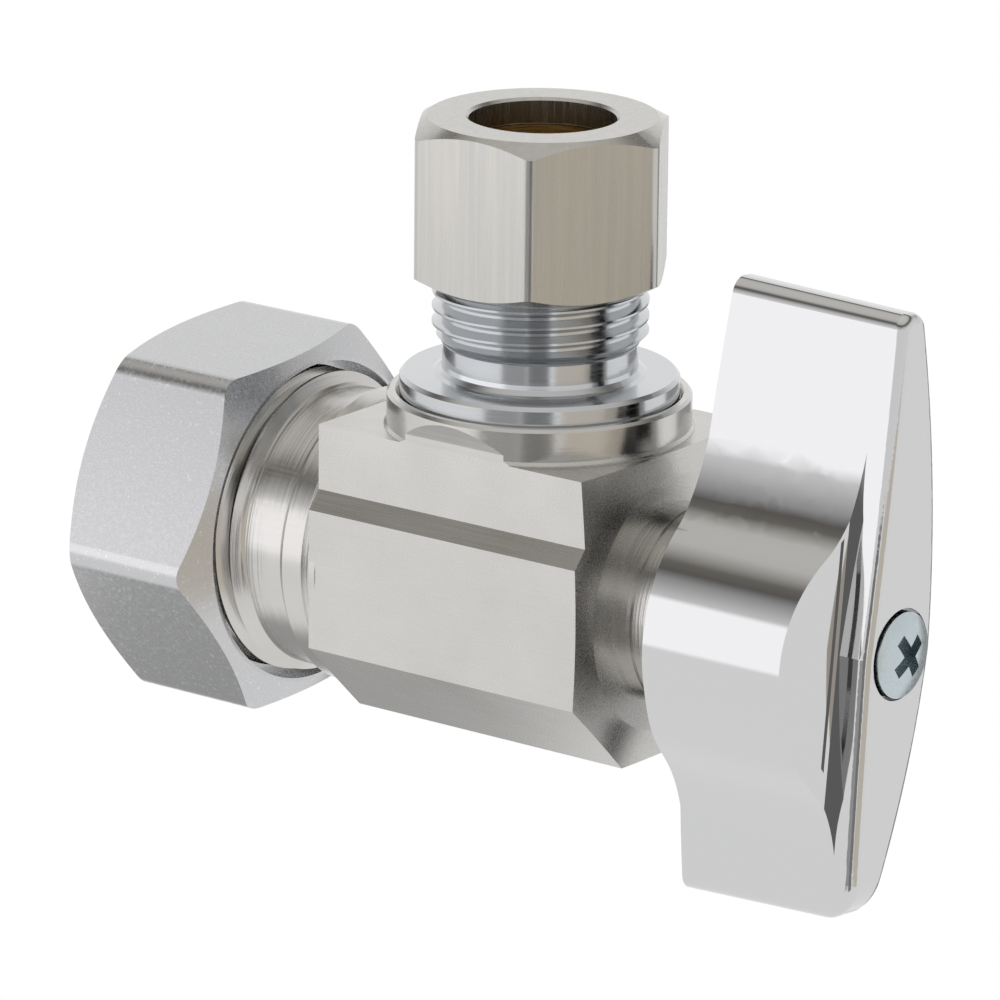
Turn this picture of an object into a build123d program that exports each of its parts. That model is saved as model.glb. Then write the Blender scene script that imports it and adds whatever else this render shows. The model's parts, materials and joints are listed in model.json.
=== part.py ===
"""Quarter-turn angle stop valve: compression inlet, compression outlet, ball and lever handle.

Millimetres. The origin is the shoulder where the supply pipe stops in the inlet socket,
on the inlet's axis. +X runs from the inlet to the handle and +Z along the outlet's axis.
Distances along X in this file are counted from the outlet's axis, through which all the
profiles are drawn.
"""
import os
from math import cos, radians, sin, sqrt, tan

from build123d import *

os.makedirs("parts", exist_ok=True)

# Layout
outlet_x = 13.0  # pipe stop to the outlet's axis
handle_turn = 6.5  # clockwise from fully open, seen from the handle's side
travel = 90.0  # the quarter turn between the stops
fit = 0.05  # radial gap of a running fit

# Bar that the body is cut from
body_back, body_front = -11.19, 10.92
flat_half, belly_half = 9.24, 10.26
body_top, flat_foot, belly_top, belly_foot = 10.13, 5.69, 4.48, -5.07
keel_half, keel_z = 4.74, -10.35
end_cone_r, end_cone_drop = 8.6, 0.95  # the end face slopes back outside this radius

# Inlet, for 5/8 in outside diameter pipe (13/16-18 thread)
pipe_bore_r = 8.0
inlet_thread_r, inlet_pitch = 10.32, 1.4111
inlet_mouth_x, thread_end_x, pipe_stop_x = -23.4, -17.0, -outlet_x
inlet_neck_r, inlet_waist_r, waterway_r, waterway_end = 10.3, 10.02, 5.0, -3.0
inlet_nut_flats, inlet_nut_corner, inlet_nut_edge = 23.81, 5.86, 1.7
inlet_nut_back, inlet_nut_front = -30.5, -18.6
inlet_nut_face_r, inlet_nut_mouth_r, inlet_nut_mouth_depth = 11.2, 10.95, 1.8
inlet_cone_r, inlet_cone_start, inlet_cone_end = 9.3, -28.7, -26.5

# Outlet, for 3/8 in outside diameter tube (9/16-24 thread)
tube_bore_r, tube_stop_r, taper_foot_z = 4.85, 4.25, 11.0
outlet_thread_r, outlet_pitch = 7.145, 1.0583
tube_stop_z, thread_foot_z, outlet_mouth_z = 17.0, 16.0, 24.9
outlet_nut_flats, outlet_nut_corner, outlet_nut_edge = 15.875, 1.57, 0.9
outlet_nut_foot, outlet_nut_top = 20.0, 31.02
outlet_nut_face_r, outlet_cone_r, outlet_cone_start, outlet_cone_end = 7.55, 6.1, 27.0, 29.35

# Boss and the fitting screwed into it
boss_r, boss_foot, boss_top, boss_flat_top, boss_flare = 10.07, 6.0, 12.53, 10.77, 0.18
recess_r, recess_floor = 9.35, 11.9
flange_r, flange_top, fitting_neck_r = 9.24, 13.78, 6.44
fitting_r, fitting_foot, fitting_groove_r, fitting_groove = 7.9, 6.85, 6.5, (7.9, 9.5)

# Ball, seats and waterway
ball_r, port_r, chamber_r, chamber_floor = 5.75, 3.2, 6.2, -6.95
seat_inner_z, seat_outer_z = 2.6, 6.8
tang_half_width, tang_half_length, tang_x = 1.25, 2.25, 4.5

# Stem and its neck
neck_r, neck_line_x, neck_end, stop_end = 6.68, 12.4, 16.0, 18.0
stem_r, collar_r, collar_start, collar_end = 3.2, 4.2, 6.3, 7.6
washer_end, drive_end, drive_half, tapped_from = 8.25, 24.0, 2.45, 16.8
seal_groove_r, seal_groove_width, seal_groove_starts = 2.15, 1.5, (9.6, 12.6)
stem_pocket_x, stop_inner_r, lug_angle = 3.0, 4.5, 44.0

# Handle
handle_back, handle_front = 14.7, 29.0
hub_r, blade_half = 8.35, 3.85
wing_up, wing_down, tip_half = 22.4, 18.45, 1.35
facet_x, facet_slope, panel_depth, blade_draft = 26.75, 0.3, 0.15, 0.5
rim_r, hub_bore_r, web_x, core_end = 0.75, 7.1, 18.3, 25.0
panel_half_length, panel_width = 7.7, 3.1
screw_tip_x, screw_seat_x, screw_face_x, screw_head_r, screw_r = 17.5, 27.85, 29.75, 2.85, 1.7
recess_turn, recess_length, recess_width, recess_depth = 55.0, 3.1, 0.9, 1.4

outlet_axis = Axis((outlet_x, 0, 0), (0, 0, 1))
middle = Plane((outlet_x, 0, 0), x_dir=(1, 0, 0), z_dir=(0, -1, 0))


def across(x, turn=0.0):
    """Plane square to the X axis, with its sketch turned clockwise seen from the handle."""
    angle = radians(turn)
    return Plane((outlet_x + x, 0, 0), x_dir=(0, cos(angle), -sin(angle)), z_dir=(1, 0, 0))


def level(z):
    """Plane square to the outlet's axis."""
    return Plane((outlet_x, 0, z), x_dir=(1, 0, 0), z_dir=(0, 0, 1))


def turned(points, axis, mode=Mode.ADD):
    """Revolve an outline of (distance along X, Z) points about an axis."""
    with BuildSketch(middle) as profile:
        with BuildLine():
            Polyline(*points, close=True)
        make_face()
    revolve(profile.sketch, axis, mode=mode)


def turned_x(points, mode=Mode.ADD):
    """Revolve (distance along X, radius) points about the inlet's axis."""
    turned(points, Axis.X, mode)


def turned_z(points, mode=Mode.ADD):
    """Revolve (radius, Z) points about the outlet's axis."""
    turned(points, outlet_axis, mode)


def ring_seal(plane, centre_r, section_r):
    """O-ring lying in a plane."""
    with BuildPart(plane, mode=Mode.PRIVATE) as seal:
        Torus(centre_r, section_r)
    return seal.part


def threaded_rod(plane, major_r, pitch, length):
    """Rod with a right-hand 60 degree thread, chamfered at both ends, along the plane's normal."""
    depth = 0.54 * pitch
    root_r, root_half, crest_half = major_r - depth, 0.44 * pitch, 0.07 * pitch
    with BuildPart(mode=Mode.PRIVATE) as rod:
        with BuildSketch():
            Circle(root_r)
        extrude(amount=length)
        with BuildLine() as path:
            Helix(pitch, length + pitch, root_r - 0.05, center=(0, 0, -pitch / 2))
        with BuildSketch(Plane(path.line @ 0, x_dir=(1, 0, 0), z_dir=path.line % 0)):
            with BuildLine():
                Polyline((0, -root_half), (depth + 0.05, -crest_half), (depth + 0.05, crest_half),
                         (0, root_half), close=True)
            make_face()
        sweep(path=path.line, is_frenet=True)
        with BuildSketch(Plane.XZ):
            with BuildLine():
                Polyline(
                    (0, 0),
                    (root_r - 0.1, 0),
                    (major_r + 0.2, depth + 0.3),
                    (major_r + 0.2, length - depth - 0.3),
                    (root_r - 0.1, length),
                    (0, length),
                    close=True,
                )
            make_face()
        revolve(axis=Axis.Z, mode=Mode.INTERSECT)
    return rod.part.moved(plane.location)


def hexagon_blank(plane, flats, corner_angle, edge_r, length, rim_r):
    """Hexagon bar with rounded edges, turned to a 30 degree chamfer at both ends."""
    corner_drop = (flats / sqrt(3) - rim_r) * tan(radians(30))
    outer_r = flats / sqrt(3)
    with BuildPart(mode=Mode.PRIVATE) as blank:
        with BuildSketch(plane) as outline:
            RegularPolygon(flats / 2, 6, major_radius=False, rotation=corner_angle)
            fillet(outline.vertices(), edge_r)
        extrude(amount=length)
        side = Plane(plane.origin, x_dir=plane.x_dir, z_dir=plane.y_dir)
        with BuildSketch(side):
            with BuildLine():
                Polyline(
                    (0, 0),
                    (rim_r, 0),
                    (outer_r, -corner_drop),
                    (outer_r, corner_drop - length),
                    (rim_r, -length),
                    (0, -length),
                    close=True,
                )
            make_face()
        revolve(axis=Axis(plane.origin, plane.z_dir), mode=Mode.INTERSECT)
    return blank.part


def sector(plane, inner_r, outer_r, centre_angle, width, depth, mode=Mode.ADD):
    """Two opposite lugs, cut from a ring."""
    with BuildSketch(plane) as lugs:
        for side in (0, 180):
            with BuildLine():
                first = centre_angle + side - width / 2
                inner = CenterArc((0, 0), inner_r, first, width)
                outer = CenterArc((0, 0), outer_r, first, width)
                Line(inner @ 0, outer @ 0)
                Line(inner @ 1, outer @ 1)
            make_face()
    extrude(lugs.sketch, amount=depth, mode=mode)


# Body: bar stock with the inlet thread, the outlet boss, the stem neck and the bores
with BuildPart() as valve_body:
    turned_z([(0, boss_foot), (boss_r + boss_flare, boss_foot), (boss_r + boss_flare, body_top + 0.05),
              (boss_r, body_top + 0.25), (boss_r, boss_top - 0.2), (boss_r - 0.2, boss_top), (0, boss_top)])
    # The flats run on up the boss and out into its rim
    with BuildSketch(across(-2 * boss_r)):
        with BuildLine():
            half = Polyline(
                (0, boss_foot),
                (flat_half, boss_foot),
                (flat_half, boss_flat_top),
                (boss_r + 0.1, boss_top - 0.2),
                (boss_r + 0.1, boss_top),
                (0, boss_top),
            )
            mirror(half, about=Plane.YZ)
        make_face()
    extrude(amount=4 * boss_r, mode=Mode.INTERSECT)
    with BuildSketch(across(body_back)):
        with BuildLine():
            half = Polyline(
                (0, body_top),
                (flat_half, body_top),
                (flat_half, flat_foot),
                (belly_half, belly_top),
                (belly_half, belly_foot),
                (keel_half, keel_z),
                (0, keel_z),
            )
            mirror(half, about=Plane.YZ)
        make_face()
    extrude(amount=body_front - body_back)
    # End faces turned to a shallow cone
    turned_x([(body_front, end_cone_r), (body_front + 1, end_cone_r), (body_front + 1, 16),
              (body_front - end_cone_drop, 16)], mode=Mode.SUBTRACT)
    # Inlet neck with its flare, relief groove and thread
    inlet_root_r = inlet_thread_r - 0.54 * inlet_pitch
    turned_x([(body_back + 0.5, 0), (body_back + 0.5, inlet_neck_r), (body_back, inlet_neck_r),
              (body_back - 0.9, inlet_waist_r), (body_back - 2.4, inlet_waist_r + 0.08),
              (body_back - 3.0, inlet_root_r), (thread_end_x, inlet_root_r), (thread_end_x, 0)])
    add(threaded_rod(across(inlet_mouth_x), inlet_thread_r, inlet_pitch, thread_end_x - inlet_mouth_x))
    # Stem neck and its two stop lugs
    turned_x([(body_front - 0.5, 0), (body_front - 0.5, neck_r), (neck_line_x, neck_r),
              (neck_line_x, neck_r - 0.15), (neck_line_x + 0.25, neck_r - 0.15), (neck_line_x + 0.25, neck_r),
              (neck_end, neck_r), (neck_end, 0)])
    sector(across(neck_end), stop_inner_r - 0.1, neck_r, 0, lug_angle, stop_end - neck_end)
    # Inlet mouth, pipe socket and waterway
    turned_x([(inlet_mouth_x - 1, 0), (inlet_mouth_x - 1, inlet_cone_r), (inlet_mouth_x, inlet_cone_r),
              (inlet_mouth_x + 2.8, pipe_bore_r), (pipe_stop_x, pipe_bore_r), (pipe_stop_x, waterway_r),
              (waterway_end, waterway_r), (waterway_end, 0)], mode=Mode.SUBTRACT)
    # Ball chamber, fitting bore and recess
    turned_z([(0, chamber_floor), (chamber_r, chamber_floor), (chamber_r, fitting_foot),
              (fitting_r + fit, fitting_foot), (fitting_r + fit, recess_floor), (recess_r, recess_floor),
              (recess_r, boss_top - 0.15), (recess_r + 0.15, boss_top), (recess_r + 0.15, boss_top + 1),
              (0, boss_top + 1)], mode=Mode.SUBTRACT)
    # Stem pocket and stem bore
    turned_x([(stem_pocket_x, 0), (stem_pocket_x, collar_r + 0.2), (washer_end + fit, collar_r + 0.2),
              (washer_end + fit, stem_r + fit), (stop_end + 1, stem_r + fit), (stop_end + 1, 0)],
             mode=Mode.SUBTRACT)
valve_body.part.label = "valve_body"
export_step(valve_body.part, "parts/valve_body.step")

# Outlet fitting: flange, neck, outlet thread and tube socket
with BuildPart() as outlet_fitting:
    outlet_root_r = outlet_thread_r - 0.54 * outlet_pitch
    turned_z([(0, fitting_foot + 0.01), (fitting_r - 0.3, fitting_foot + 0.01),
              (fitting_r, fitting_foot + 0.3), (fitting_r, fitting_groove[0]),
              (fitting_groove_r, fitting_groove[0]), (fitting_groove_r, fitting_groove[1]),
              (fitting_r, fitting_groove[1]), (fitting_r, recess_floor + 0.02),
              (flange_r, recess_floor + 0.02), (flange_r, flange_top - 0.25),
              (flange_r - 0.25, flange_top), (7.1, flange_top), (6.75, flange_top + 0.1),
              (6.5, flange_top + 0.4), (fitting_neck_r, flange_top + 0.7),
              (fitting_neck_r, thread_foot_z - 0.2), (outlet_root_r, thread_foot_z), (0, thread_foot_z)])
    add(threaded_rod(level(thread_foot_z), outlet_thread_r, outlet_pitch, outlet_mouth_z - thread_foot_z))
    turned_z([(0, outlet_mouth_z), (5.85, outlet_mouth_z), (tube_bore_r, 22.2), (tube_bore_r, tube_stop_z),
              (tube_stop_r, tube_stop_z), (port_r, taper_foot_z), (port_r, fitting_foot), (0, fitting_foot)],
             mode=Mode.SUBTRACT)
outlet_fitting.part.label = "outlet_fitting"
export_step(outlet_fitting.part, "parts/outlet_fitting.step")

# O-ring that seals the fitting in the body
with BuildPart() as fitting_oring:
    add(ring_seal(level(8.7), 7.2, 0.68))
fitting_oring.part.label = "fitting_oring"
export_step(fitting_oring.part, "parts/fitting_oring.step")

# Ball seats: a ring above the ball, and one below it with a notch for its O-ring
with BuildPart() as outlet_seat:
    turned_z([(port_r + 0.1, seat_inner_z), (chamber_r - fit, seat_inner_z), (chamber_r - fit, seat_outer_z),
              (port_r + 0.1, seat_outer_z)])
    with Locations((outlet_x, 0, 0)):
        Sphere(ball_r + 0.03, mode=Mode.SUBTRACT)
outlet_seat.part.label = "outlet_seat"
export_step(outlet_seat.part, "parts/outlet_seat.step")

with BuildPart() as support_seat:
    turned_z([(port_r + 0.1, -seat_inner_z), (chamber_r - fit, -seat_inner_z), (chamber_r - fit, -5.6),
              (4.85, -5.6), (4.85, -seat_outer_z), (port_r + 0.1, -seat_outer_z)])
    with Locations((outlet_x, 0, 0)):
        Sphere(ball_r + 0.03, mode=Mode.SUBTRACT)
support_seat.part.label = "support_seat"
export_step(support_seat.part, "parts/support_seat.step")

with BuildPart() as seat_oring:
    add(ring_seal(level(-6.28), 5.52, 0.62))
seat_oring.part.label = "seat_oring"
export_step(seat_oring.part, "parts/seat_oring.step")

# Ball: an elbow passage from the inlet's side to its rim, and a slot for the stem
with BuildPart() as ball:
    with Locations((outlet_x, 0, 0)):
        Sphere(ball_r)
    with BuildSketch(across(0)):
        Circle(port_r)
    extrude(amount=-2 * ball_r, mode=Mode.SUBTRACT)
    rim_side = Plane((outlet_x, 0, 0), x_dir=(1, 0, 0),
                     z_dir=(0, sin(radians(handle_turn)), cos(radians(handle_turn))))
    with BuildSketch(rim_side):
        Circle(port_r)
    extrude(amount=2 * ball_r, mode=Mode.SUBTRACT)
    with Locations((outlet_x, 0, 0)):
        Sphere(port_r, mode=Mode.SUBTRACT)
    with BuildSketch(across(tang_x - fit, handle_turn)):
        Rectangle(2 * (tang_half_width + fit), 3 * ball_r)
    extrude(amount=ball_r, mode=Mode.SUBTRACT)
ball.part.label = "ball"
export_step(ball.part, "parts/ball.step")

# Stem: tang, collar, sealed shaft, square drive and tapped end
with BuildPart() as stem:
    turned_x([(collar_start, 0), (collar_start, collar_r), (collar_end, collar_r), (collar_end, stem_r),
              (drive_end - 0.3, stem_r), (drive_end, stem_r - 0.3), (drive_end, 0)])
    for start in seal_groove_starts:
        turned_x([(start, seal_groove_r), (start, 5), (start + seal_groove_width, 5),
                  (start + seal_groove_width, seal_groove_r)], mode=Mode.SUBTRACT)
    with BuildSketch(across(stop_end, handle_turn)):
        Circle(2 * stem_r)
        Rectangle(2 * drive_half, 2 * drive_half, mode=Mode.SUBTRACT)
    extrude(amount=drive_end, mode=Mode.SUBTRACT)
    with BuildSketch(across(tang_x, handle_turn)):
        Rectangle(2 * tang_half_width, 2 * tang_half_length)
    extrude(amount=collar_start - tang_x + 0.5)
    turned_x([(tapped_from, 0), (tapped_from, screw_r + fit), (drive_end + 1, screw_r + fit),
              (drive_end + 1, 0)], mode=Mode.SUBTRACT)
stem.part.label = "stem"
export_step(stem.part, "parts/stem.step")

with BuildPart() as stem_thrust_washer:
    turned_x([(collar_end + 0.02, stem_r + 0.08), (collar_end + 0.02, collar_r), (washer_end, collar_r),
              (washer_end, stem_r + 0.08)])
stem_thrust_washer.part.label = "stem_thrust_washer"
export_step(stem_thrust_washer.part, "parts/stem_thrust_washer.step")

# The stem's two O-rings, which turn with it
for name, start in zip(("stem_oring_inner", "stem_oring_outer"), seal_groove_starts):
    with BuildPart() as stem_oring:
        add(ring_seal(across(start + seal_groove_width / 2), 2.7, 0.52))
    stem_oring.part.label = name
    export_step(stem_oring.part, f"parts/{name}.step")

# Handle: a tapered blade through a round hub, cored from behind
handle_y = (0, cos(radians(handle_turn)), -sin(radians(handle_turn)))
handle_z = (0, sin(radians(handle_turn)), cos(radians(handle_turn)))
side_view = Plane((outlet_x, 0, 0), x_dir=(1, 0, 0), z_dir=(0, -handle_z[2], handle_z[1]))
plan_view = Plane((outlet_x, 0, 0), x_dir=(1, 0, 0), z_dir=handle_z)


def blade_outline(plane, shrink):
    """Lens with round tips, longer above the hub than below it."""
    half, tip = blade_half - 0.3 * shrink, tip_half - 0.3 * shrink
    up, down = wing_up - shrink, wing_down - shrink
    with BuildSketch(plane) as outline:
        with BuildLine():
            Polyline((0, up), (-tip, up))
            ThreePointArc((-tip, up), (-0.745 * half, 0.51 * up), (-half, 0))
            ThreePointArc((-half, 0), (-0.765 * half, -0.51 * down), (-tip, -down))
            Polyline((-tip, -down), (0, -down))
            mirror(about=Plane.YZ)
        make_face()
        tips = outline.vertices().filter_by(lambda corner: abs(corner.Y) > 0.9 * down)
        fillet(tips, tip - 0.1)
    return outline.sketch


with BuildPart() as handle:
    # Hub, flared into the blade above and below
    with BuildSketch(across(handle_back, handle_turn)) as hub:
        with BuildLine():
            arc = ThreePointArc((-5.5, 6.28), (-hub_r, 0), (-7.9, -3.6))
            Spline((-2.45, 13.6), (-3.0, 11.2), (-3.8, 8.9), arc @ 0, tangents=((-0.2, -1), arc % 0))
            Spline(arc @ 1, (-6.1, -7.6), (-4.0, -9.9), (-2.55, -12.4), (-1.95, -14.2),
                   tangents=(arc % 1, (0.3, -1)))
            Polyline((-2.45, 13.6), (0, 13.6))
            Polyline((-1.95, -14.2), (0, -14.2))
            mirror(about=Plane.YZ)
        make_face()
    extrude(amount=facet_x - handle_back)
    # Hub's front slopes back outwards, each side of the blade
    facet_drop = (2 * hub_r - blade_half) * facet_slope
    with BuildSketch(plan_view):
        with BuildLine():
            Polyline((handle_back, 0), (handle_back, 2 * hub_r), (facet_x - facet_drop, 2 * hub_r),
                     (facet_x, blade_half), (facet_x, -blade_half), (facet_x - facet_drop, -2 * hub_r),
                     (handle_back, -2 * hub_r), close=True)
        make_face()
    extrude(amount=2 * wing_up, both=True, mode=Mode.INTERSECT)
    for side in (-1, 1):
        out = Vector(-facet_slope, side * handle_y[1], side * handle_y[2])
        normal = Vector(1, side * facet_slope * handle_y[1], side * facet_slope * handle_y[2])
        root = Vector(outlet_x + facet_x, side * blade_half * handle_y[1], side * blade_half * handle_y[2])
        with BuildSketch(Plane(root, x_dir=out, z_dir=normal)):
            with BuildLine():
                rim = ThreePointArc((0.3, panel_half_length), (panel_width, 0), (0.3, -panel_half_length))
                Line(rim @ 1, rim @ 0)
            make_face()
        extrude(amount=-panel_depth, mode=Mode.SUBTRACT)
    # Blade, drafted towards its front, which is crowned and rounded at the corners
    blade = [blade_outline(across(handle_back, handle_turn), 0),
             blade_outline(across(handle_front + 1, handle_turn), blade_draft)]
    loft(blade, ruled=True)
    with BuildSketch(side_view) as crown:
        with BuildLine():
            front = ThreePointArc((handle_front - 1.1, -wing_down + 0.4), (handle_front, 0),
                                  (handle_front - 1.1, wing_up - 0.4))
            Polyline(front @ 1, (handle_back, wing_up + 0.1), (handle_back, -wing_down - 0.1), front @ 0)
        make_face()
        front_corners = crown.vertices().group_by(Axis.X)[-1].sort_by(Axis.Z)
        fillet(front_corners[0], 3.2)
        fillet(front_corners[-1], 1.6)
    extrude(amount=2 * hub_r, both=True, mode=Mode.INTERSECT)
    front_faces = handle.faces().filter_by(
        lambda face: face.center().X > outlet_x + handle_front - 1.8 and face.normal_at().X > 0.3)
    borders = [edge for face in front_faces for edge in face.edges()]
    rim = [edge for edge in borders if sum(edge.is_same(other) for other in borders) == 1]
    fillet(rim, rim_r)
    # Hollow back: room for the stem neck, two stop lugs and a core in each wing
    with BuildSketch(across(handle_back)):
        Circle(hub_bore_r)
    extrude(amount=web_x - handle_back, mode=Mode.SUBTRACT)
    stop_centre = 90 + travel / 2 - handle_turn
    sector(across(neck_end + 0.3), stop_inner_r + 0.1, hub_bore_r + 0.2, stop_centre, lug_angle,
           web_x - neck_end)
    with BuildSketch(across(handle_back, handle_turn)):
        for foot, tip in ((9.6, 0.88 * wing_up), (-9.4, -0.88 * wing_down)):
            with BuildLine():
                Polyline((-1.6, foot), (-0.7, tip), (0.7, tip), (1.6, foot), close=True)
            make_face()
    extrude(amount=core_end - handle_back, mode=Mode.SUBTRACT)
    # Square hole for the stem, screw hole and counterbore
    with BuildSketch(across(web_x - 0.1, handle_turn)):
        Rectangle(2 * drive_half + 0.1, 2 * drive_half + 0.1)
    extrude(amount=drive_end + 0.3 - web_x, mode=Mode.SUBTRACT)
    turned_x([(drive_end, 0), (drive_end, screw_r + 0.25), (screw_seat_x, screw_r + 0.25),
              (screw_seat_x, screw_head_r + 0.2), (handle_front + 1, screw_head_r + 0.2),
              (handle_front + 1, 0)], mode=Mode.SUBTRACT)
handle.part.label = "handle"
export_step(handle.part, "parts/handle.step")

# Screw that clamps the handle to the stem: pan head with a cross recess
with BuildPart() as handle_screw:
    dome_edge = screw_face_x - 0.55
    with BuildSketch(middle):
        with BuildLine():
            Polyline((screw_tip_x, 0), (screw_tip_x, screw_r - 0.4), (screw_tip_x + 0.4, screw_r),
                     (screw_seat_x, screw_r), (screw_seat_x, screw_head_r), (dome_edge, screw_head_r))
            ThreePointArc((dome_edge, screw_head_r), (screw_face_x - 0.13, 0.52 * screw_head_r),
                          (screw_face_x, 0))
            Line((screw_face_x, 0), (screw_tip_x, 0))
        make_face()
    revolve(axis=Axis.X)
    with BuildSketch(across(screw_face_x + 0.1, recess_turn)):
        Rectangle(recess_length, recess_width)
        Rectangle(recess_width, recess_length)
    extrude(amount=-recess_depth, mode=Mode.SUBTRACT)
handle_screw.part.label = "handle_screw"
export_step(handle_screw.part, "parts/handle_screw.step")

# Compression nuts and their sleeves, hand tight
with BuildPart() as inlet_nut:
    add(hexagon_blank(across(inlet_nut_back), inlet_nut_flats, inlet_nut_corner, inlet_nut_edge,
                      inlet_nut_front - inlet_nut_back, inlet_nut_face_r))
    turned_x([(inlet_nut_back, 0), (inlet_nut_back, pipe_bore_r + 0.45),
              (inlet_nut_back + 0.4, pipe_bore_r + fit), (inlet_cone_start, pipe_bore_r + fit),
              (inlet_cone_end, inlet_cone_r), (inlet_cone_end, inlet_thread_r + fit),
              (inlet_nut_front - inlet_nut_mouth_depth, inlet_thread_r + fit),
              (inlet_nut_front - inlet_nut_mouth_depth, inlet_nut_mouth_r),
              (inlet_nut_front, inlet_nut_mouth_r), (inlet_nut_front, 0)], mode=Mode.SUBTRACT)
inlet_nut.part.label = "inlet_nut"
export_step(inlet_nut.part, "parts/inlet_nut.step")

with BuildPart() as inlet_ferrule:
    turned_x([(-28.5, pipe_bore_r), (-28.5, 8.1), (-27.4, 8.7), (-22.3, 8.7), (-21.0, 8.1),
              (-21.0, pipe_bore_r)])
inlet_ferrule.part.label = "inlet_ferrule"
export_step(inlet_ferrule.part, "parts/inlet_ferrule.step")

with BuildPart() as outlet_nut:
    add(hexagon_blank(level(outlet_nut_foot), outlet_nut_flats, outlet_nut_corner, outlet_nut_edge,
                      outlet_nut_top - outlet_nut_foot, outlet_nut_face_r))
    turned_z([(0, outlet_nut_top), (tube_bore_r + 0.2, outlet_nut_top), (tube_bore_r, outlet_nut_top - 0.2),
              (tube_bore_r, outlet_cone_end), (outlet_cone_r, outlet_cone_start),
              (outlet_thread_r + fit, outlet_cone_start), (outlet_thread_r + fit, outlet_nut_foot + 0.3),
              (outlet_thread_r + 0.35, outlet_nut_foot), (0, outlet_nut_foot)], mode=Mode.SUBTRACT)
outlet_nut.part.label = "outlet_nut"
export_step(outlet_nut.part, "parts/outlet_nut.step")

with BuildPart() as outlet_ferrule:
    turned_z([(tube_bore_r, 22.9), (5.0, 22.9), (5.5, 24.3), (5.5, 27.9), (4.87, 29.2), (tube_bore_r, 29.2)])
outlet_ferrule.part.label = "outlet_ferrule"
export_step(outlet_ferrule.part, "parts/outlet_ferrule.step")
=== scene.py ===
"""Looks of the quarter-turn angle stop valve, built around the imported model. Metres."""

import json
from math import cos, radians, sin, tan

import bpy
from mathutils import Matrix, Vector


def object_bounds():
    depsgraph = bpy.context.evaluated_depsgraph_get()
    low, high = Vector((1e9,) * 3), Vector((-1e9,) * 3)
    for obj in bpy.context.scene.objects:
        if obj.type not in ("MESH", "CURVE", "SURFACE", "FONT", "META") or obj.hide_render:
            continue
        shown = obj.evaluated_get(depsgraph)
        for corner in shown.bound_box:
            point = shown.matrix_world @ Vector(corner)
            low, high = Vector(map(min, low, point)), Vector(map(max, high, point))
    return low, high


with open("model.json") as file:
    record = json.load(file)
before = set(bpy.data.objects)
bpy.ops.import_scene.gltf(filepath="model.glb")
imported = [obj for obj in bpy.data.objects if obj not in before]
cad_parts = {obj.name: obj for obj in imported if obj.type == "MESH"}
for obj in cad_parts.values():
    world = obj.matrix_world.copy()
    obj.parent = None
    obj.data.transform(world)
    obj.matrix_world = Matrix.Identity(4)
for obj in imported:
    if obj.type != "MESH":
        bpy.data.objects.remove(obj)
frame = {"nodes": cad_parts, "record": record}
cad_box = [list(corner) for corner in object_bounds()]

record = frame["record"]
mounts = {mount["name"]: Vector(mount["pos_m"]) for mount in record["mounts"]}
crossing = Vector((mounts["outlet_tube"].x, 0, 0))  # where the inlet's and the outlet's axes meet
MM = 0.001


# Node helpers

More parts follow.
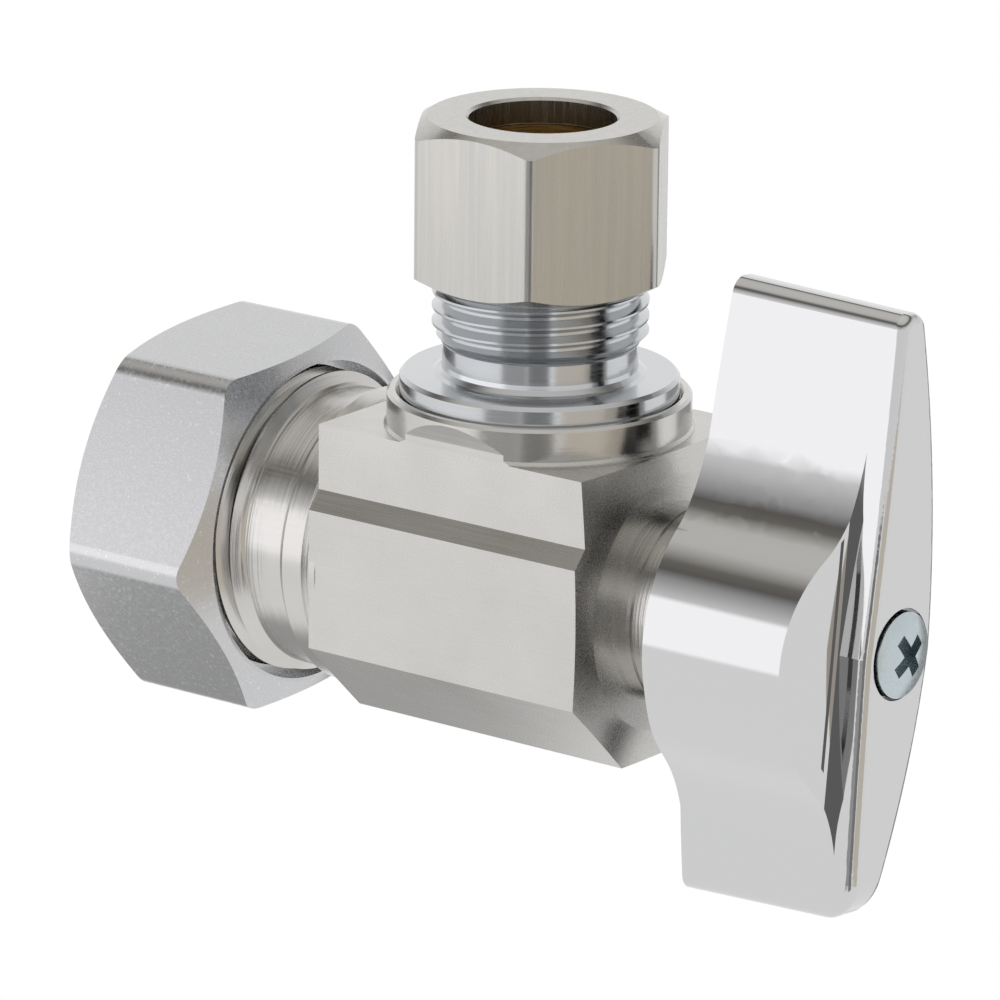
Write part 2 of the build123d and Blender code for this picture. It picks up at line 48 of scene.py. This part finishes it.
class Finish:
    """A procedural material: one shader, with textures in millimetres of the object's own space."""

    def __init__(self, name, colour, roughness, metallic=1.0):
        self.material = bpy.data.materials.new(name)
        self.material.use_nodes = True
        self.nodes = self.material.node_tree.nodes
        self.links = self.material.node_tree.links
        self.shader = self.nodes["Principled BSDF"]
        self.set("Base Color", (*colour, 1))
        self.set("Roughness", roughness)
        self.set("Metallic", metallic)
        self.bump = None

    def set(self, socket, value):
        self.shader.inputs[socket].default_value = value

    def place(self, space):
        return self.nodes.new("ShaderNodeTexCoord").outputs[space]

    def split(self, vector):
        node = self.nodes.new("ShaderNodeSeparateXYZ")
        self.links.new(vector, node.inputs["Vector"])
        return [node.outputs[axis] for axis in "XYZ"]

    def point(self, stretch=(1, 1, 1)):
        """Object coordinates in millimetres, divided by stretch along each axis."""
        scale = self.nodes.new("ShaderNodeMapping")
        scale.inputs["Scale"].default_value = [1 / (MM * s) for s in stretch]
        self.links.new(self.place("Object"), scale.inputs["Vector"])
        return scale.outputs["Vector"]

    def noise(self, size, stretch=(1, 1, 1), detail=3.0, rough=0.55):
        """Noise with features about size millimetres across."""
        texture = self.nodes.new("ShaderNodeTexNoise")
        texture.inputs["Scale"].default_value = 1 / size
        texture.inputs["Detail"].default_value = detail
        texture.inputs["Roughness"].default_value = rough
        self.links.new(self.point(stretch), texture.inputs["Vector"])
        return texture.outputs["Fac"]

    def ramp(self, value, low, high, start, end):
        """Map value from low..high to start..end, clamped."""
        node = self.nodes.new("ShaderNodeMapRange")
        node.inputs["From Min"].default_value = low
        node.inputs["From Max"].default_value = high
        node.inputs["To Min"].default_value = start
        node.inputs["To Max"].default_value = end
        self.links.new(value, node.inputs["Value"])
        return node.outputs["Result"]

    def math(self, operation, first, second):
        node = self.nodes.new("ShaderNodeMath")
        node.operation = operation
        for socket, value in zip(node.inputs, (first, second)):
            if isinstance(value, (int, float)):
                socket.default_value = value
            else:
                self.links.new(value, socket)
        return node.outputs["Value"]

    def mix(self, value, first, second):
        node = self.nodes.new("ShaderNodeMix")
        node.data_type = "RGBA"
        node.inputs[6].default_value = (*first, 1)
        node.inputs[7].default_value = (*second, 1)
        self.links.new(value, node.inputs["Factor"])
        return node.outputs[2]

    def drive(self, socket, value):
        self.links.new(value, self.shader.inputs[socket])

    def relief(self, height, depth_mm, strength=1.0):
        """Bump from a 0..1 height, stacked on any earlier relief."""
        node = self.nodes.new("ShaderNodeBump")
        node.inputs["Strength"].default_value = strength
        node.inputs["Distance"].default_value = depth_mm * MM
        self.links.new(height, node.inputs["Height"])
        if self.bump:
            self.links.new(self.bump, node.inputs["Normal"])
        self.bump = node.outputs["Normal"]
        self.links.new(self.bump, self.shader.inputs["Normal"])


# Materials

def satin_nickel():
    """Satin plate over bar stock: drawn along the bar, turned on the necks and the boss."""
    neck_from, boss_from = (11.0, 11.3), (10.2, 10.4)  # distance from the crossing, and height
    finish = Finish("satin_nickel", (0.575, 0.562, 0.54), 0.26)
    cloud = finish.noise(6.0)
    finish.drive("Base Color", finish.mix(finish.ramp(cloud, 0.35, 0.65, 0, 1), (0.59, 0.58, 0.562),
                                          (0.56, 0.547, 0.525)))
    x, _, z = finish.split(finish.point())
    from_crossing = finish.math("ABSOLUTE", finish.math("SUBTRACT", x, crossing.x / MM), 0)
    on_neck = finish.ramp(from_crossing, *neck_from, 0, 1)
    on_boss = finish.ramp(z, *boss_from, 0, 1)
    on_bar = finish.math("SUBTRACT", 1, finish.math("MAXIMUM", on_neck, on_boss))
    drawn = finish.noise(0.12, stretch=(60, 1, 1), detail=2.0)
    turned = finish.noise(0.2, stretch=(1, 80, 80), detail=4.0)
    ringed = finish.noise(0.16, stretch=(60, 60, 1), detail=3.0)
    finish.drive("Roughness", finish.math("ADD", finish.ramp(on_bar, 0, 1, 0.16, 0.24),
                                          finish.ramp(drawn, 0.3, 0.7, 0, 0.08)))
    finish.relief(finish.math("MULTIPLY", drawn, on_bar), 0.0008)
    finish.relief(finish.math("MULTIPLY", turned, on_neck), 0.022)
    finish.relief(finish.math("MULTIPLY", ringed, on_boss), 0.005)
    return finish.material


def brushed_plate():
    """Plate over a hexagon brushed along the nut's axis."""
    finish = Finish("brushed_plate", (0.5, 0.49, 0.465), 0.28)
    streaks = finish.noise(0.1, stretch=(1, 1, 50), detail=2.0)
    bands = finish.noise(0.5, stretch=(1, 1, 40), detail=4.0)
    finish.drive("Base Color", finish.mix(finish.ramp(bands, 0.35, 0.65, 0, 1), (0.52, 0.507, 0.475),
                                          (0.475, 0.468, 0.447)))
    finish.drive("Roughness", finish.ramp(streaks, 0.3, 0.7, 0.17, 0.3))
    finish.relief(streaks, 0.0015)
    return finish.material


def speckled_plate():
    """Plate over a forged hexagon, with tumbling marks."""
    finish = Finish("speckled_plate", (0.55, 0.552, 0.56), 0.28)
    marks = finish.noise(0.28, detail=4.0, rough=0.7)
    finish.drive("Base Color", finish.mix(finish.ramp(marks, 0.58, 0.66, 0, 1), (0.55, 0.552, 0.56),
                                          (0.7, 0.71, 0.73)))
    finish.drive("Roughness", finish.ramp(marks, 0.4, 0.65, 0.2, 0.34))
    finish.relief(marks, 0.0035)
    return finish.material


def bright_plate():
    """Bright bluish plate over turned rings."""
    finish = Finish("bright_plate", (0.56, 0.575, 0.59), 0.14)
    rings = finish.noise(0.13, stretch=(60, 60, 1), detail=3.0)
    finish.drive("Roughness", finish.ramp(rings, 0.3, 0.7, 0.12, 0.22))
    finish.relief(rings, 0.002)
    return finish.material


def mirror_chrome():
    """Polished chrome over a casting, with a faint ripple."""
    finish = Finish("mirror_chrome", (0.6, 0.6, 0.605), 0.04)
    finish.drive("Roughness", finish.ramp(finish.noise(0.8), 0.35, 0.7, 0.03, 0.07))
    finish.relief(finish.noise(5.0, detail=1.0), 0.004)
    return finish.material


def zinc():
    """Dull bluish zinc."""
    finish = Finish("bright_zinc", (0.5, 0.56, 0.585), 0.25)
    finish.drive("Roughness", finish.ramp(finish.noise(0.3), 0.35, 0.7, 0.18, 0.36))
    finish.relief(finish.noise(0.2), 0.003)
    return finish.material


def brass():
    finish = Finish("turned_brass", (0.78, 0.57, 0.25), 0.28)
    rings = finish.noise(0.1, stretch=(30, 30, 1))
    finish.drive("Roughness", finish.ramp(rings, 0.3, 0.7, 0.2, 0.38))
    finish.relief(rings, 0.002)
    return finish.material


def ptfe():
    finish = Finish("ptfe", (0.86, 0.86, 0.84), 0.5, metallic=0.0)
    finish.drive("Roughness", finish.ramp(finish.noise(0.5), 0.3, 0.7, 0.42, 0.6))
    return finish.material


def rubber():
    finish = Finish("seal_rubber", (0.02, 0.02, 0.02), 0.55, metallic=0.0)
    finish.relief(finish.noise(0.15), 0.004)
    return finish.material


node_finish = {
    "valve_body": satin_nickel(),
    "inlet_nut": speckled_plate(),
    "outlet_nut": brushed_plate(),
    "outlet_fitting": bright_plate(),
    "handle": mirror_chrome(),
    "handle_screw": zinc(),
}
node_finish["ball"] = node_finish["handle"]
node_finish.update(dict.fromkeys(("inlet_ferrule", "outlet_ferrule", "stem"), brass()))
node_finish.update(dict.fromkeys(("outlet_seat", "support_seat", "stem_thrust_washer"), ptfe()))
seals = ("seat_oring", "fitting_oring", "stem_oring_inner", "stem_oring_outer")
node_finish.update(dict.fromkeys(seals, rubber()))
for name, finish in node_finish.items():
    frame["nodes"][name].data.materials.clear()
    frame["nodes"][name].data.materials.append(finish)


# Camera

def add_camera(azimuth, elevation, roll, distance, aside, above, view_angle):
    """Camera aimed near the crossing: azimuth from -Y towards +X, angles in degrees, lengths in metres."""
    a, e, tilt = radians(azimuth), radians(elevation), radians(roll)
    back = Vector((sin(a) * cos(e), -cos(a) * cos(e), sin(e)))
    right = Vector((cos(a), sin(a), 0))
    up = back.cross(right)
    camera = bpy.data.objects.new("camera", bpy.data.cameras.new("camera"))
    bpy.context.collection.objects.link(camera)
    place = crossing + back * distance - right * aside - up * above
    axes = (right * cos(tilt) - up * sin(tilt), right * sin(tilt) + up * cos(tilt), back)
    camera.matrix_world = Matrix.Translation(place) @ Matrix(axes).transposed().to_4x4()
    camera.data.angle = radians(view_angle)
    camera.data.clip_start = 0.01
    bpy.context.scene.camera = camera


add_camera(azimuth=36.865, elevation=16.65, roll=-0.597, distance=0.4908,
           aside=0.002528, above=-0.004646, view_angle=7.722)


# Studio

def add_floor(drop, half_width):
    """Plain white floor, well below the valve, which is held up by its pipe."""
    height = cad_box[0][2] - drop
    corners = [(x * half_width, y * half_width, height) for x, y in ((-1, -1), (1, -1), (1, 1), (-1, 1))]
    mesh = bpy.data.meshes.new("floor")
    mesh.from_pydata(corners, [], [(0, 1, 2, 3)])
    floor = bpy.data.objects.new("floor", mesh)
    bpy.context.collection.objects.link(floor)
    mesh.materials.append(glow("floor", 1.0, (1, 1, 1)).material)


def glow(name, radiance, colour):
    """Surface that only gives light."""
    finish = Finish(name, (0, 0, 0), 1.0, metallic=0.0)
    finish.set("Specular IOR Level", 0)
    finish.set("Emission Color", (*colour, 1))
    finish.set("Emission Strength", radiance)
    return finish


def add_panel(name, azimuth, elevation, radiance, colour=(1, 1, 1), edge=3.0, distance=0.4,
              centre=(0, 0, 0)):
    """Soft-edged studio panel that the camera doesn't see, spanning two ranges of angles.

    The angles are seen from the crossing, moved by centre. Azimuth is counted from +X towards +Y.
    A radiance below that of the surroundings makes a dark flag.
    """
    turn, rise = radians(sum(azimuth) / 2), radians(sum(elevation) / 2)
    towards = Vector((cos(turn) * cos(rise), sin(turn) * cos(rise), sin(rise)))
    half = [distance * tan(radians(high - low) / 2) for low, high in (azimuth, elevation)]
    fade = distance * tan(radians(edge))
    half = [size + fade / 2 for size in half]
    mesh = bpy.data.meshes.new(name)
    mesh.from_pydata([(x * half[0], y * half[1], 0) for x, y in ((-1, -1), (1, -1), (1, 1), (-1, 1))],
                     [], [(0, 1, 2, 3)])
    panel = bpy.data.objects.new(name, mesh)
    bpy.context.collection.objects.link(panel)
    panel.location = crossing + Vector(centre) + towards * distance
    panel.rotation_euler = towards.to_track_quat("Z", "Y").to_euler()
    panel.visible_camera = False
    finish = glow(name, radiance, colour)
    across, up, _ = finish.split(finish.place("Object"))
    sides = [finish.ramp(finish.math("SUBTRACT", size, finish.math("ABSOLUTE", position, 0)), 0, fade, 0, 1)
             for size, position in zip(half, (across, up))]
    finish.drive("Alpha", finish.math("MULTIPLY", *sides))
    mesh.materials.append(finish.material)


def add_room(stops):
    """World whose brightness changes with the height of the direction."""
    world = bpy.data.worlds.new("room")
    world.use_nodes = True
    nodes, links = world.node_tree.nodes, world.node_tree.links
    place = nodes.new("ShaderNodeTexCoord")
    split = nodes.new("ShaderNodeSeparateXYZ")
    ramp = nodes.new("ShaderNodeValToRGB")
    shift = nodes.new("ShaderNodeMapRange")
    shift.inputs["From Min"].default_value = -1
    links.new(place.outputs["Generated"], split.inputs["Vector"])
    links.new(split.outputs["Z"], shift.inputs["Value"])
    links.new(shift.outputs["Result"], ramp.inputs["Fac"])
    links.new(ramp.outputs["Color"], nodes["Background"].inputs["Color"])
    while len(ramp.color_ramp.elements) < len(stops):
        ramp.color_ramp.elements.new(1)
    for element, (elevation, colour) in zip(ramp.color_ramp.elements, stops):
        element.position = (1 + sin(radians(elevation))) / 2
        element.color = (*colour, 1)
    bpy.context.scene.world = world


add_floor(drop=0.3, half_width=30)
add_room([(0, (0.95, 0.95, 0.95)), (20, (0.9, 0.9, 0.9)), (33, (0.4, 0.4, 0.4)), (38, (0.15, 0.14, 0.13)),
          (43, (0.2, 0.19, 0.17)), (52, (0.7, 0.68, 0.64)), (90, (0.82, 0.81, 0.8))])
add_panel("key", azimuth=(203, 266), elevation=(-11, 21.5), radiance=1.46, colour=(0.99, 0.98, 1))
add_panel("back_panel", azimuth=(98, 160), elevation=(2, 42), radiance=1.02)
add_panel("front_flag", azimuth=(293, 317), elevation=(-40, 8), radiance=0.26, distance=0.25)
add_panel("front_grey", azimuth=(262, 291), elevation=(-36, -4), radiance=0.42, distance=0.28)
add_panel("warm_panel", azimuth=(325, 370), elevation=(-34, 6), radiance=0.72, colour=(1, 0.92, 0.8),
          distance=0.3)
add_panel("side_flag", azimuth=(72, 106), elevation=(-40, 0), radiance=0.35, distance=0.3)
# Painted shade: a dim card close under the inlet, straight below, standing in for the shadow the valve
# casts beneath itself, as seen in reflections; its elevations run past the nadir on both sides
add_panel("painted_shade_card", azimuth=(0, 50), elevation=(-115, -65), radiance=0.45, edge=14,
          distance=0.05, centre=(-0.046, 0, 0))
bpy.context.scene.view_settings.view_transform = "Standard"
